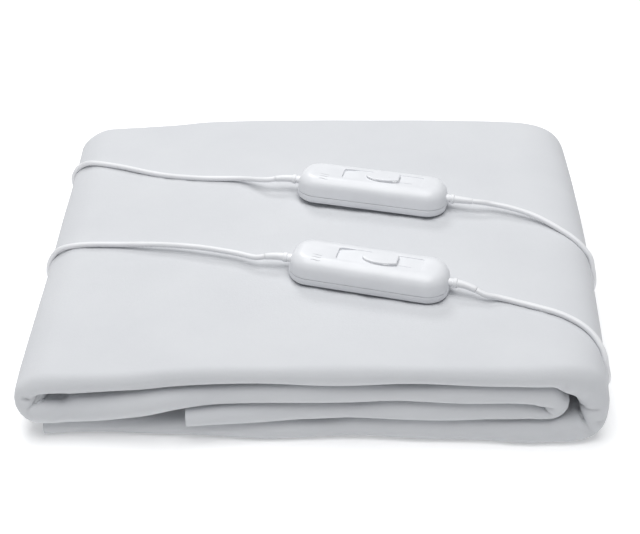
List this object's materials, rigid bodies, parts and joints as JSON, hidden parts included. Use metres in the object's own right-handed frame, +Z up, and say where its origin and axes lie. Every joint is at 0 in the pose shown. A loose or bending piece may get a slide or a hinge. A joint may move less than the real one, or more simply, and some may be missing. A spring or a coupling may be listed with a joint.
{
  "type": "folded electric heated blanket with two slide controllers",
  "caption": "White electric underblanket folded into a flat pack, with slide controllers for heat lying on it and their leads run down behind it to coiled mains cords.",
  "frame": {"origin": "on the surface the pack lies on, under the middle of the folded blanket", "axes": "+Z up; +X along the pack's long side, towards its right wrap, where the mains leads leave; +Y from the folded front towards the cut edges at the back"},
  "size_m": [0.4483, 0.4244, 0.0946],
  "materials": {
    "cloth": "matt soft non-woven polyester",
    "shell": "satin moulded",
    "knob": "satin moulded",
    "cord_plastic": "smooth flexible PVC",
    "tie": "matt strap",
    "plug_plastic": "satin moulded",
    "pins": "nickel-plated"
  },
  "bodies": {
    "pack": {"blanket": "cloth", "base_front": "shell", "cover_front": "shell", "base_rear": "shell", "cover_rear": "shell", "relief_mains_front": "cord_plastic", "relief_blanket_front": "cord_plastic", "entry_front": "cord_plastic", "lead_front": "cord_plastic", "mains_front": "cord_plastic", "coil_front": "cord_plastic", "tail_front": "cord_plastic", "tie_front": "tie", "relief_plug_front": "plug_plastic", "plug_front": "plug_plastic", "pin_a_front": "pins", "pin_b_front": "pins", "relief_mains_rear": "cord_plastic", "relief_blanket_rear": "cord_plastic", "entry_rear": "cord_plastic", "lead_rear": "cord_plastic", "mains_rear": "cord_plastic", "coil_rear": "cord_plastic", "tail_rear": "cord_plastic", "tie_rear": "tie", "relief_plug_rear": "plug_plastic", "plug_rear": "plug_plastic", "pin_a_rear": "pins", "pin_b_rear": "pins"},
    "knob_front": {"knob_front": "knob"},
    "knob_rear": {"knob_rear": "knob"}
  },
  "joints": [
    {"name": "heat_slide_front", "type": "slide", "parent": "pack", "child": "knob_front", "axis": [0.9724, -0.2334, 0], "range_m": [-0.015, 0.015]},
    {"name": "heat_slide_rear", "type": "slide", "parent": "pack", "child": "knob_rear", "axis": [0.9781, -0.2079, 0], "range_m": [-0.015, 0.015]}
  ]
}
